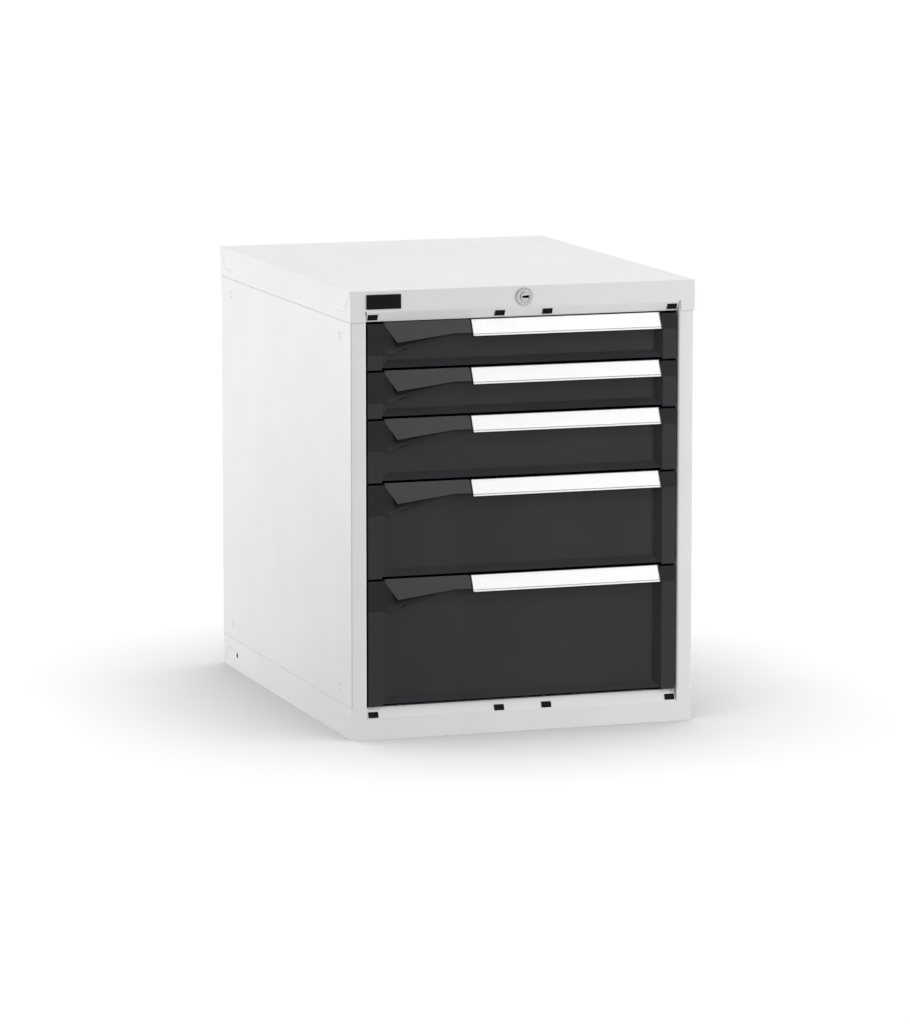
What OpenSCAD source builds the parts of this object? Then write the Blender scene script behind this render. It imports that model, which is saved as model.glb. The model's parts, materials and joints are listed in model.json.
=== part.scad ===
// Five-drawer steel workshop cabinet, in millimetres.
// x runs across the front, y from the front to the back, and z up from the floor.
// The origin is on the floor, under the middle of the housing.
// Most shapes are drawn with y counted back from the top cover's front plane.

/* [Housing] */
// Overall width, across the top cover
housing_w = 564; // [500:1:800]
// Overall depth, across the top cover
housing_d = 725; // [600:1:900]
// Thickness of the housing's sheet steel
sheet = 1.2; // [0.8:0.1:1.5]
// Height of the base
base_h = 50; // [40:1:80]
// How far the top cover's flange hangs down
cover_drop = 48; // [46:1:70]
// Height of the sloping strip above the drawers
strip = 14; // [12:0.5:16]
// Depth of that slope
strip_run = 7; // [5:0.5:16]
// Height of the sloping strip below the drawers
base_strip = 18.5; // [14:0.5:20]
// Depth of that slope
base_strip_run = 9; // [6:0.5:20]
// Gap between the strips' ends and the posts
strip_gap = 0.8; // [0.5:0.1:2]
// Depth of the fold behind each sloping strip
strip_lip = 10; // [6:1:14]
// Free height between the frame and the drawers, above and below
bay_clear = 1; // [0.8:0.1:3]
// Width of the round-topped relief slots at the ends of the cover's strip
relief_w = 4; // [3:0.2:8]
// Width of the folded lips around the top of the base
base_lip = 16; // [10:1:18]
// Width of the front posts
post_w = 24.8; // [22:0.1:40]
// Depth of the posts' fold back into the bay
post_return = 14; // [8:1:16]
// Outer radius of the posts' inner bend
post_bend = 3; // [2:0.1:4]
// Outer radius of the bend between post and side
corner_bend = 2; // [1.8:0.1:4]
// Width of the side panels' folds at the top and the bottom
side_fold = 20; // [12:1:24]
// Width of the back panel's folds along the sides
back_fold = 15; // [10:1:24]
// Gap of the seam between the side and the back panel
seam_gap = 0.3; // [0.2:0.1:0.6]
// Width of the rear flange that the back panel is screwed to
rear_flange = 28; // [22:1:40]
// Length of the level stretch of the corner seams
corner_seam = 36; // [20:1:60]
// Width of the corner seams
corner_seam_w = 0.8; // [0.5:0.1:1.2]
// Depth of the corner seams
corner_seam_deep = 0.5; // [0.3:0.1:0.7]
// Height of the groove below the top cover's edge
cover_groove = 1.4; // [0.8:0.1:2]
// Height of the groove above the base, in the sides
base_groove = 0.7; // [0.4:0.1:1.2]
// Depth of the grooves
groove_deep = 0.7; // [0.4:0.1:0.8]

/* [Holes, caps and plugs] */
// Diameter of the side hole caps
cap_d = 10; // [8:0.2:20]
// Diameter of the flange behind each cap
cap_flange_d = 16; // [15:0.5:26]
// Thickness of the caps' flange
cap_flange = 1; // [0.8:0.1:2]
// Width of the ring left open round each cap
cap_ring = 0.8; // [0.3:0.1:1.2]
// Distance of the caps from the front and rear planes
cap_inset = 60; // [45:1:64]
// Distance of the caps from the base and the cover
cap_end = 26; // [20:1:40]
// Diameter of the fixing hole in each side of the base
base_hole_d = 9; // [6:0.5:12]
// Distance of the fixing holes from the rear plane
base_hole_back = 82; // [60:1:120]
// Width of the slot plugs
plug_w = 16; // [12:0.5:20]
// Length of the slot plugs along the slope
plug_l = 9.5; // [8:0.5:13]
// Thickness of the slot plugs' flange
plug_flange = 1; // [0.8:0.1:2]
// Overlap of a slot plug's flange on the edge of its slot
plug_seat = 1; // [0.6:0.1:1.5]
// Depth of a slot plug's body
plug_deep = 6; // [4:0.5:8]
// Gap between a slot plug and its slot
plug_gap = 0.2; // [0.1:0.05:0.4]
// Distance of the inner slot plugs from the middle
plug_inner_x = 39; // [26:1:120]
// Height of the slot plugs above or below the strips' outer edges
plug_rise = 7; // [6:0.5:8]
// Distance of the outer slot plugs from the posts
plug_outer = 11; // [10:0.5:60]
// Width of the bare name plate
plate_w = 55.5; // [30:0.5:90]
// Height of the name plate
plate_h = 22.4; // [14:0.2:28]
// Thickness of the name plate
plate_t = 1.6; // [1:0.1:3]
// Distance of the name plate from the cover's left side
plate_inset = 26; // [10:1:120]
// Width of the name plate's raised rim
plate_rim = 1; // [0.6:0.1:2]
// Height of the name plate's raised rim
plate_rim_h = 0.5; // [0.3:0.1:0.8]
// Diameter of the back panel's screws
screw_d = 4; // [3:0.5:5]
// Diameter of their heads
screw_head_d = 9; // [7:0.5:11]
// Height of their heads
screw_head = 1.1; // [0.8:0.1:1.2]
// Length of their shanks
screw_l = 8; // [6:0.5:14]
// Gap round the screws' shanks
screw_gap = 0.1; // [0.05:0.05:0.3]
// Distance of the screws from the side faces
screw_inset = 17; // [12:1:19]
// Number of screws along each side
screw_count = 4; // [2:1:6]

/* [Drawers] */
// Height of the top drawer's place in the bay
pitch_1 = 75; // [75:25:200]
// Height of the second drawer's place
pitch_2 = 75; // [75:25:200]
// Height of the third drawer's place
pitch_3 = 100; // [75:25:200]
// Height of the fourth drawer's place
pitch_4 = 150; // [75:25:300]
// Height of the bottom drawer's place
pitch_5 = 200; // [75:25:300]
// Free depth between the drawers and the back panel
rear_space = 93; // [84:1:160]
// Thickness of the drawers' sheet steel
drawer_sheet = 1.2; // [0.8:0.1:1.5]
// Height of a tray's floor above the bottom of its place
tray_lift = 7; // [5:0.5:9]
// Free height above a tray's walls
tray_head = 15; // [13:1:16]
// Width of the hem along the top of a tray's sides
tray_hem = 5; // [3:0.5:6]
// Gap of the welded seams between a tray's walls and its floor
tray_seam = 0.1; // [0.05:0.05:0.3]
// Overhang of a drawer's front past the side of its tray
front_over = 22.3; // [20:0.1:26]
// Gap between a drawer's front and the posts
side_gap = 3; // [2:0.1:6]
// Distance of the drawers' stiles behind the cover's front plane
front_inset = 3; // [2:0.5:6]
// Width of the stiles beside the sunk panel
stile_w = 22.5; // [18:0.5:26]
// Depth of the sunk panel, and width of its sloping borders
recess = 11; // [9:0.5:14]
// Depth of the folds along the sides of a front
front_return = 14; // [12.5:0.5:18]
// Height of a front above the bottom of its place
front_lift = 0.8; // [0.6:0.1:2]
// Height of the sunk panel's lower edge above the stiles' ends
ledge_lift = 3.2; // [1.5:0.1:5]

/* [Handles] */
// Distance of a handle's top below the top of its place
handle_top = 0.3; // [0.3:0.1:2]
// Height of the sloping label strip
label_h = 25.4; // [20:0.2:30]
// How far the strip leans forward over its height
label_lean = 13; // [8:0.5:16]
// Distance of the strip's upper edge behind the stiles
label_back = 3; // [1:0.5:4]
// Thickness of the handle's wall, with its label
handle_wall = 3.4; // [3:0.1:5]
// Thickness of the handle's top and of its foot on the panel
handle_foot = 2.5; // [2:0.1:4]
// Height of the foot on the panel
handle_foot_h = 14; // [8:0.5:16]
// Width of the handle's rims at the ends of the label
end_rim = 1.6; // [1:0.1:3]
// Width of the handle's rims above and below the label
edge_rim = 0.4; // [0.3:0.1:1.5]
// Thickness of the label card
card_t = 0.4; // [0.3:0.05:0.8]
// Thickness of the label's clear cover
cover_t = 1; // [0.6:0.1:1.5]
// Gap round the label
label_gap = 0.15; // [0.1:0.05:0.4]
// Gap between the handle and its two ends
end_gap = 1; // [0.6:0.1:2]
// Distance of the handle ends' tops below the top of their place
cap_top = 2.6; // [1.5:0.1:4]
// Width of the right handle end
end_cap_w = 25.8; // [24:0.2:34]
// Height of the right handle end
end_cap_h = 24.5; // [20:0.5:30]
// Bevel on the right handle end's upper corner
end_cap_bevel = 2.5; // [1:0.1:5]
// Length of the left grip
grip_l = 166; // [140:1:200]
// Width of the left grip's flat corner
grip_flat_w = 25; // [22:0.5:32]
// Height of the left grip's flat corner
grip_flat_h = 48; // [40:0.5:50]
// Distance of the facet's lowest point from the flat corner
facet_tip_x = 19; // [12:0.5:30]
// Drop of the facet's lowest point below its upper edge
facet_tip_drop = 30.8; // [26:0.2:34]
// Length over which the facet's lower edge rises
facet_rise_l = 93; // [60:1:105]
// Drop of the facet's lower edge at the label
facet_end_drop = 20.1; // [17:0.1:24]
// Drop of the grip's underside at the label
grip_end_drop = 23.6; // [22:0.1:30]

/* [Runners] */
// Thickness of the runners' steel
runner_sheet = 1.5; // [1:0.1:2]
// Height of the runner on the housing
runner_h = 40; // [34:1:44]
// Height of the runners' middle above the bottom of a place
runner_mid = 30; // [26:0.5:32]
// Distance of the runners' ends in front of the drawers' rear walls
runner_back = 10; // [8:1:40]
// Running gap between the members
runner_gap = 0.3; // [0.2:0.05:0.5]
// Gap between the webs of the two outer members
web_gap = 0.5; // [0.3:0.1:1]
// Gap between the middle members and the posts
post_clear = 1.8; // [1:0.1:3]
// Gap at the edges of the members' flanges
tip_gap = 2.8; // [1.5:0.1:4]
// Width of the uprights
upright_w = 40; // [30:1:60]
// Thickness of the uprights' steel
upright_sheet = 1.5; // [1:0.1:2.5]
// Width of the uprights' lips on the side panels
upright_lip = 12; // [8:1:14]
// Distance of the uprights from the ends of the runners
upright_inset = 62; // [62:1:120]

/* [Central lock] */
// Diameter of the lock's rosette
rosette_d = 28; // [24:0.5:30]
// Height of the rosette
rosette_h = 3; // [2:0.1:5]
// Diameter of the lock's barrel
barrel_d = 22; // [20:0.5:24]
// Length of the barrel behind the cover's front plane
barrel_l = 26; // [16:1:40]
// Diameter of the turning plug
lock_plug_d = 14; // [12:0.5:17]
// Width of the sunk ring round the plug
rosette_ring = 2.3; // [1:0.1:3]
// Depth of the sunk ring
rosette_ring_deep = 1.6; // [0.5:0.1:2]
// Height of the plug's face in front of the rosette
lock_plug_proud = 0.3; // [0.2:0.1:2]
// Length of the plug behind the cover's front plane
lock_plug_l = 24; // [14:1:30]
// Running gap round the plug and the rod
lock_gap = 0.3; // [0.2:0.05:0.5]
// Length of the key slot
key_slot_l = 9; // [6:0.5:11]
// Width of the key slot
key_slot_w = 2.8; // [1.5:0.1:3]
// Depth of the key slot
key_slot_deep = 9; // [4:0.5:12]
// Size of the lock's nut between its corners
nut_d = 34; // [31:0.5:35]
// Thickness of the nut
nut_h = 5; // [3:0.5:8]
// Diameter of the lock rod
rod_d = 10; // [6:0.5:12]
// Radius of the crank at the rod's rear end
crank_r = 9; // [7:0.5:9.5]
// Thickness of the crank
crank_t = 4; // [3:0.5:6]
// Gap between the crank and the locking bar
crank_gap = 2; // [1:0.5:4]
// Diameter of the crank pin
pin_d = 6; // [4:0.5:7]
// Gap above and below the crank pin in its slot
pin_gap = 0.6; // [0.5:0.05:1]
// Metal between the crank pin's slot and the bar's end
bar_end = 3.5; // [2:0.5:4]
// Width of the locking bar
bar_w = 34; // [32:1:44]
// Thickness of the locking bar
bar_t = 4; // [3:0.5:6]
// Distance of the bar behind the drawers
bar_back = 20; // [16:0.5:30]
// Gap round the bar in its guides
guide_gap = 0.4; // [0.2:0.05:0.6]
// Thickness of the guides
guide_t = 2; // [1.5:0.1:3]
// Height of the guides
guide_h = 16; // [10:1:18]
// Width of the channel behind the bar
channel_w = 48; // [46:1:70]
// Thickness of the channel and of the rod's bracket
channel_sheet = 1.5; // [1:0.1:2.5]
// Width of the channel's flanges on the back panel
channel_flange = 16; // [10:1:24]
// Distance of the rod's bracket in front of the crank
bracket_front = 24; // [12:1:60]
// Width of the rod's bracket
bracket_w = 40; // [24:1:60]
// Thickness of the hooks' tips
hook_t = 4; // [3:0.5:6]
// Width of the hooks
hook_w = 12; // [8:1:20]
// Height of the hooks' arms
hook_arm = 4; // [3:0.5:5]
// Play between a hook's tip and the rear wall of its drawer
hook_play = 3; // [2:0.5:6]
// Gap above the rear wall when the lock is open
hook_gap = 3.5; // [2:0.5:5]
// Gap between the hook's arm and the rear wall when the lock is shut
hook_clear = 2.8; // [2:0.1:3.2]

/* [Hidden] */
$fn = 48;

housing_colour = [0.87, 0.87, 0.85];
drawer_colour = [0.23, 0.23, 0.25];
plastic_colour = [0.12, 0.12, 0.12];
black_colour = [0.05, 0.05, 0.05];
paper_colour = [0.97, 0.97, 0.96];
clear_colour = [0.9, 0.95, 0.97, 0.4];
zinc_colour = [0.72, 0.74, 0.75];
chrome_colour = [0.86, 0.87, 0.89];

// Cuts run past a face by this much
past = 1;
// Shift of a sheet's inner corner at a 45 degree bend, for each unit of its thickness
fold = sqrt(2) - 1;

// Heights
pitches = [pitch_1, pitch_2, pitch_3, pitch_4, pitch_5];
last = len(pitches) - 1;
function heights_below(i) = i >= last ? 0 : pitches[i + 1] + heights_below(i + 1);
function place_bottom(i) = base_h + bay_clear + heights_below(i);
function place_top(i) = place_bottom(i) + pitches[i];
cover_z = place_top(0) + bay_clear;
housing_h = cover_z + cover_drop;
face_z = cover_z + strip;
base_face_z = base_h - base_strip;
lock_z = (face_z + housing_h) / 2;

// Housing faces, across and along
cover_x = housing_w / 2;
side_x = cover_x - sheet;
side_in_x = side_x - sheet;
post_y = sheet;
rear_y = housing_d - sheet;
rear_in_y = rear_y - sheet;
side_end_y = rear_y - back_fold - seam_gap;

// Drawer faces, across and along
post_x = side_x - post_w;
front_x = post_x - side_gap;
tray_x = front_x - front_over;
tray_in_x = tray_x - drawer_sheet;
panel_edge_x = front_x - stile_w;
panel_x = panel_edge_x - recess;
panel_y = front_inset + recess;
tray_y = panel_y + drawer_sheet;
tray_rear_y = rear_in_y - rear_space;

// Runners: webs and flange edges, across
middle_web_x = post_x - post_clear;
upright_x = middle_web_x + web_gap + runner_sheet;
middle_tip_x = tray_x + runner_sheet + tip_gap;
inner_tip_x = middle_web_x - runner_sheet - tip_gap;
cabinet_half = runner_h / 2;
middle_half = cabinet_half - runner_sheet - runner_gap;
inner_half = middle_half - runner_sheet - runner_gap;
runner_y = front_inset + front_return + runner_sheet + bay_clear;
runner_end_y = tray_rear_y - runner_back;

// Handles: heights are counted down from the top of a drawer's place
label_y = front_inset + label_back;
label_angle = atan(label_lean / label_h);
label_slope = norm([label_lean, label_h]);
end_cap_x = front_x - end_cap_w;
handle_x1 = end_cap_x - end_gap;
handle_x0 = grip_l + end_gap - front_x;
facet_x = grip_flat_w - front_x;
grip_end_x = grip_l - front_x;
grip_bottom = -cap_top - grip_flat_h;
end_cap_bottom = -cap_top - end_cap_h;

// Central lock, at rest: the key slot is level, the bar is up and the drawers are free
bar_y = tray_rear_y + bar_back;
channel_y = bar_y + bar_t + guide_gap;
crank_y = bar_y - crank_gap - crank_t;
bracket_y = crank_y - bracket_front;
crank_offset = crank_r / sqrt(2);
bar_travel = 2 * crank_offset;
slot_z = lock_z + crank_offset;
slot_half = pin_d / 2 + pin_gap;
hook_y = tray_rear_y - drawer_sheet - hook_play - hook_t;
function tray_top(i) = place_top(i) - tray_head;
function hook_tip_z(i) = tray_top(i) + hook_gap;
function hook_arm_z(i) = tray_top(i) + hook_clear + bar_travel;
bar_bottom = hook_tip_z(last) - bar_end;
guided_places = [0, 2, 3];

DRAWER_PARTS = [
    "tray", "front", "handle", "handle_ends", "label_card", "label_cover", "inner_runners", "middle_runners"
];
function drawer_name(i, part) = str("drawer_", i + 1, "_", part);
NODES = concat(
    ["top_cover", "base_tray", "left_side_panel", "right_side_panel", "back_panel", "back_panel_screws"],
    ["uprights", "cabinet_runners", "side_hole_caps", "slot_plugs", "name_plate"],
    ["lock_housing", "lock_nut", "lock_plug", "lock_rod", "rod_bracket"],
    ["locking_bar", "bar_guides", "bar_channel"],
    [for (i = [0:last]) for (part = DRAWER_PARTS) drawer_name(i, part)]
);
node = "all";

// Helpers

module from_front() translate([0, -housing_d / 2, 0]) children();

module at_place(i) from_front() translate([0, 0, place_top(i)]) children();

module both_sides() {
    children();
    mirror([1, 0, 0]) children();
}

module block(low, high) translate(low) cube(high - low);

module along_x(x0, x1) translate([x0, 0, 0]) rotate([90, 0, 90]) linear_extrude(x1 - x0) children();

module along_y(y0, y1) translate([0, y1, 0]) rotate([90, 0, 0]) linear_extrude(y1 - y0) children();

module along_z(z0, z1) translate([0, 0, z0]) linear_extrude(z1 - z0) children();

module rod_y(d, y0, y1) translate([0, y0, 0]) rotate([-90, 0, 0]) cylinder(d = d, h = y1 - y0);

// A sheet's round bend: a quarter ring towards the quadrant that the signs give
module bend(r, sign_x, sign_y) intersection() {
    difference() {
        circle(r);
        circle(r - sheet);
    }
    translate([sign_x > 0 ? 0 : -r, sign_y > 0 ? 0 : -r]) square(r);
}

// Channel section between its web's outer face and its flanges' edges
function channel_outline(web_x, tip_x, half) = let (in_x = web_x + sign(tip_x - web_x) * runner_sheet) [
    [web_x, -half], [tip_x, -half], [tip_x, runner_sheet - half], [in_x, runner_sheet - half],
    [in_x, half - runner_sheet], [tip_x, half - runner_sheet], [tip_x, half], [web_x, half]
];

// Housing

// Section of a sloping strip below (way -1) or above (way 1) the face that it is folded from
function strip_outline(z, way, rise, run) = let (
    slope = norm([rise, run]),
    inner_run = run + sheet * (slope - run) / rise,
    inner_drop = sheet * (slope - rise) / run
) [
    for (p = [
        [0, 0], [run, rise], [run + strip_lip, rise], [run + strip_lip, rise - sheet],
        [inner_run, rise - sheet], [sheet, -inner_drop], [0, -inner_drop]
    ]) [p[0], z + way * p[1]]
];

// Places of the slot plugs, with z along the outward normal
module on_strips() {
    for (x = [plug_inner_x, post_x - plug_outer]) both_sides() {
        translate([x, plug_rise * strip_run / strip, face_z - plug_rise])
            rotate([180 - atan2(strip, strip_run), 0, 0]) children();
        translate([x, post_y + plug_rise * base_strip_run / base_strip, base_face_z + plug_rise])
            rotate([atan2(base_strip, base_strip_run), 0, 0]) children();
    }
}

module plug_body(gap, low, high) {
    half = [plug_w / 2 - plug_seat + gap, plug_l / 2 - plug_seat + gap];
    block([-half[0], -half[1], low], [half[0], half[1], high]);
}

// The slanted line and level line of a folded corner, down from the corner at the origin
module corner_seam_outline(drop) polygon([
    [0, 0], [drop, -drop], [drop + corner_seam, -drop], [drop + corner_seam, -drop - corner_seam_w],
    [drop - corner_seam_w * fold, -drop - corner_seam_w], [0, -corner_seam_w * sqrt(2)]
]);

// Both ends of both side faces
module corner_seams(x, y0, y1, z, drop, way) both_sides() along_x(x - corner_seam_deep, x + past) {
    translate([y0, z]) mirror([0, way]) corner_seam_outline(drop);
    translate([y1, z]) mirror([1, 0]) mirror([0, way]) corner_seam_outline(drop);
}

module top_cover() color(housing_colour) from_front() difference() {
    union() {
        block([-cover_x, 0, housing_h - sheet], [cover_x, housing_d, housing_h]);
        block([-cover_x, rear_y, cover_z], [cover_x, housing_d, housing_h]);
        both_sides() block([side_x, 0, cover_z], [cover_x, housing_d, housing_h]);
        block([-cover_x, 0, face_z], [cover_x, sheet, housing_h]);
        both_sides() block([post_x + relief_w - strip_gap, 0, cover_z], [cover_x, sheet, face_z]);
        along_x(strip_gap - post_x, post_x - strip_gap) polygon(strip_outline(face_z, -1, strip, strip_run));
    }
    both_sides() translate([post_x + relief_w / 2 - strip_gap, 0, face_z]) rod_y(relief_w, -past, sheet + past);
    translate([0, 0, lock_z]) rod_y(barrel_d + 2 * lock_gap, -past, sheet + past);
    on_strips() plug_body(plug_gap, -sheet - past, past);
    corner_seams(cover_x, 0, housing_d, housing_h, housing_h - face_z, 0);
}

module base_tray() color(housing_colour) from_front() difference() {
    union() {
        block([-side_x, post_y, 0], [side_x, rear_y, sheet]);
        both_sides() block([side_in_x, post_y, 0], [side_x, rear_y, base_h]);
        both_sides() block([side_x - base_lip, post_y + base_strip_run, base_h - sheet], [side_x, rear_y, base_h]);
        block([-side_x, rear_in_y, 0], [side_x, rear_y, base_h]);
        block([-side_x, rear_y - base_lip, base_h - sheet], [side_x, rear_y, base_h]);
        block([-side_x, post_y, 0], [side_x, post_y + sheet, base_face_z]);
        both_sides() {
            block([post_x, post_y, base_face_z], [side_x, post_y + sheet, base_h]);
            block([post_x, post_y, base_face_z], [post_x + sheet, post_y + base_strip_run + sheet, base_h]);
        }
        along_x(strip_gap - post_x, post_x - strip_gap)
            translate([post_y, 0]) polygon(strip_outline(base_face_z, 1, base_strip, base_strip_run));
    }
    both_sides() translate([side_in_x - past, housing_d - base_hole_back, base_h / 2])
        rotate([0, 90, 0]) cylinder(d = base_hole_d, h = sheet + 2 * past);
    on_strips() plug_body(plug_gap, -sheet - past, past);
    corner_seams(side_x, post_y, rear_y, 0, base_face_z, 1);
}

// Grooves in the outside of the panels, along the edges of the cover and the base
module edge_grooves() both_sides() {
    block([side_x - groove_deep, post_y - past, cover_z - cover_groove], [side_x + past, rear_y + past, cover_z]);
    block(
        [post_x + post_bend, post_y - past, cover_z - cover_groove],
        [side_x + past, post_y + groove_deep, cover_z]
    );
    block([side_x - groove_deep, post_y + past, base_h - past], [side_x + past, rear_y + past, base_h + base_groove]);
}

// Places of the caps in the right side panel, with z along its outward normal
module at_caps() for (y = [cap_inset, housing_d - cap_inset]) for (z = [base_h + cap_end, cover_z - cap_end])
    translate([side_x, y, z]) rotate([0, 90, 0]) children();

// Places of the back panel's screws, with z along the outward normal
module at_screws() for (n = [0:screw_count - 1]) both_sides() {
    low = base_h + cap_end;
    high = cover_z - cap_end;
    translate([side_x - screw_inset, rear_y, low + (high - low) * n / (screw_count - 1)])
        rotate([-90, 0, 0]) children();
}

module side_panel() difference() {
    union() {
        along_z(base_h, housing_h - sheet) {
            translate([post_x, post_y + post_bend]) square([sheet, post_return - post_bend]);
            translate([post_x + post_bend, post_y + post_bend]) bend(post_bend, -1, -1);
            translate([post_x + post_bend, post_y])
                square([side_x - corner_bend - post_x - post_bend, sheet]);
            translate([side_x - corner_bend, post_y + corner_bend]) bend(corner_bend, 1, -1);
            translate([side_in_x, post_y + corner_bend])
                square([sheet, side_end_y - post_y - corner_bend]);
            translate([side_in_x - sheet, side_end_y - back_fold])
                square([sheet, rear_in_y - side_end_y + back_fold]);
            translate([side_x - rear_flange, rear_in_y - sheet])
                square([rear_flange - 2 * sheet, sheet]);
        }
        for (z = [base_h, housing_h - 2 * sheet])
            block([side_x - side_fold, cap_inset, z], [side_in_x, side_end_y - back_fold, z + sheet]);
    }
    at_caps() translate([0, 0, -sheet - past]) cylinder(d = cap_d + 2 * cap_ring, h = sheet + 2 * past);
    at_screws() translate([0, 0, -screw_l]) cylinder(d = screw_d + 2 * screw_gap, h = screw_l);
    edge_grooves();
}

module left_side_panel() color(housing_colour) from_front() mirror([1, 0, 0]) side_panel();

module right_side_panel() color(housing_colour) from_front() side_panel();

module back_panel() color(housing_colour) from_front() difference() {
    along_z(base_h, housing_h - sheet) difference() {
        translate([-side_x, rear_y - back_fold]) square([2 * side_x, back_fold]);
        translate([-side_in_x, rear_y - back_fold - past]) square([2 * side_in_x, back_fold - sheet + past]);
    }
    at_screws() translate([0, 0, -sheet - past]) cylinder(d = screw_d + 2 * screw_gap, h = sheet + 2 * past);
    edge_grooves();
}

module back_panel_screws() color(zinc_colour) from_front() at_screws() {
    cylinder(d = screw_head_d, h = screw_head);
    translate([0, 0, -screw_l]) cylinder(d = screw_d, h = screw_l);
}

module upright(y) translate([0, y]) {
    translate([upright_x, 0]) square([upright_sheet, upright_w]);
    for (edge = [0, upright_w - upright_sheet])
        translate([upright_x, edge]) square([side_in_x - upright_x, upright_sheet]);
    for (edge = [0, upright_w - upright_lip])
        translate([side_in_x - upright_sheet, edge]) square([upright_sheet, upright_lip]);
}

module uprights() color(zinc_colour) from_front() both_sides()
    for (y = [runner_y + upright_inset, runner_end_y - upright_inset - upright_w])
        along_z(base_h + sheet, cover_z - sheet) upright(y);

module cabinet_runners() color(zinc_colour) from_front() both_sides()
    for (i = [0:last]) translate([0, 0, place_bottom(i) + runner_mid]) along_y(runner_y, runner_end_y)
        polygon(channel_outline(upright_x, middle_tip_x + runner_sheet, cabinet_half));

module side_hole_caps() color(housing_colour) from_front() both_sides() at_caps() {
    translate([0, 0, -sheet]) cylinder(d = cap_d, h = sheet);
    translate([0, 0, -sheet - cap_flange]) cylinder(d = cap_flange_d, h = cap_flange);
}

module slot_plugs() color(black_colour) from_front() on_strips() difference() {
    union() {
        block([-plug_w / 2, -plug_l / 2, 0], [plug_w / 2, plug_l / 2, plug_flange]);
        plug_body(0, -plug_deep, 0);
    }
    plug_body(-plug_seat, plug_flange / 2, plug_flange + past);
}

module name_plate() color(black_colour) from_front()
    translate([plate_inset - cover_x, 0, lock_z - plate_h / 2]) difference() {
        block([0, -plate_t, 0], [plate_w, 0, plate_h]);
        block(
            [plate_rim, -plate_t - past, plate_rim],
            [plate_w - plate_rim, plate_rim_h - plate_t, plate_h - plate_rim]
        );
    }

// Central lock

module on_lock_axis() from_front() translate([0, 0, lock_z]) children();

module lock_housing() color(chrome_colour) on_lock_axis() rotate([-90, 0, 0]) rotate_extrude() {
    bore_r = lock_plug_d / 2 + lock_gap;
    edge = rosette_h / 2;
    polygon([
        [bore_r, rosette_ring_deep - rosette_h], [bore_r + rosette_ring, rosette_ring_deep - rosette_h],
        [bore_r + rosette_ring, -rosette_h], [rosette_d / 2 - edge, -rosette_h], [rosette_d / 2, -edge],
        [rosette_d / 2, 0],
        [barrel_d / 2, 0], [barrel_d / 2, barrel_l], [bore_r, barrel_l]
    ]);
}

module lock_nut() color(zinc_colour) on_lock_axis() difference() {
    translate([0, sheet, 0]) rotate([-90, 0, 0]) cylinder(d = nut_d, h = nut_h, $fn = 6);
    rod_y(barrel_d + 2 * lock_gap, 0, sheet + nut_h + past);
}

module lock_plug() color(chrome_colour) on_lock_axis() difference() {
    rod_y(lock_plug_d, -rosette_h - lock_plug_proud, lock_plug_l);
    block(
        [-key_slot_l / 2, -rosette_h - lock_plug_proud - past, -key_slot_w / 2],
        [key_slot_l / 2, key_slot_deep - rosette_h - lock_plug_proud, key_slot_w / 2]
    );
}

module lock_rod() color(zinc_colour) on_lock_axis() {
    rod_y(rod_d, lock_plug_l, crank_y);
    rod_y(2 * rod_d / 1.5, crank_y, crank_y + crank_t);
    rotate([0, -45, 0]) {
        block([0, crank_y, -pin_d / 2], [crank_r, crank_y + crank_t, pin_d / 2]);
        translate([crank_r, 0, 0]) rod_y(pin_d, crank_y, bar_y + bar_t);
    }
}

module rod_bracket() color(zinc_colour) on_lock_axis() {
    top = housing_h - sheet - lock_z;
    difference() {
        block([-bracket_w / 2, bracket_y, -rod_d], [bracket_w / 2, bracket_y + channel_sheet, top]);
        rod_y(rod_d + 2 * lock_gap, bracket_y - past, bracket_y + channel_sheet + past);
    }
    block(
        [-bracket_w / 2, bracket_y - channel_flange, top - channel_sheet],
        [bracket_w / 2, bracket_y, top]
    );
}

module locking_bar() color(zinc_colour) from_front() difference() {
    union() {
        block([-bar_w / 2, bar_y, bar_bottom], [bar_w / 2, bar_y + bar_t, slot_z + slot_half + bar_end]);
        for (i = [0:last]) {
            block([-hook_w / 2, hook_y, hook_arm_z(i)], [hook_w / 2, bar_y + bar_t, hook_arm_z(i) + hook_arm]);
            block([-hook_w / 2, hook_y, hook_tip_z(i)], [hook_w / 2, hook_y + hook_t, hook_arm_z(i) + hook_arm]);
        }
    }
    // The pin swings out to the crank's full radius between the two ends of its turn
    block(
        [crank_offset - slot_half, bar_y - past, slot_z - slot_half],
        [crank_r + slot_half, bar_y + bar_t + past, slot_z + slot_half]
    );
}

module bar_guides() color(zinc_colour) from_front() {
    in_x = bar_w / 2 + guide_gap;
    in_y = bar_y - guide_gap;
    for (i = guided_places) translate([0, 0, place_bottom(i) + runner_mid]) along_z(-guide_h / 2, guide_h / 2)
        difference() {
            translate([-in_x - guide_t, in_y - guide_t])
                square([2 * (in_x + guide_t), channel_y - in_y + guide_t]);
            translate([-in_x, in_y]) square([2 * in_x, channel_y - in_y + past]);
        }
}

module bar_channel() color(zinc_colour) from_front() along_z(base_h, place_bottom(0) + runner_mid + guide_h) {
    translate([-channel_w / 2, channel_y]) square([channel_w, channel_sheet]);
    both_sides() {
        translate([channel_w / 2 - channel_sheet, channel_y]) square([channel_sheet, rear_in_y - channel_y]);
        translate([channel_w / 2 - channel_sheet, rear_in_y - channel_sheet])
            square([channel_flange, channel_sheet]);
    }
}

// Drawers, counted from the top

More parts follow.
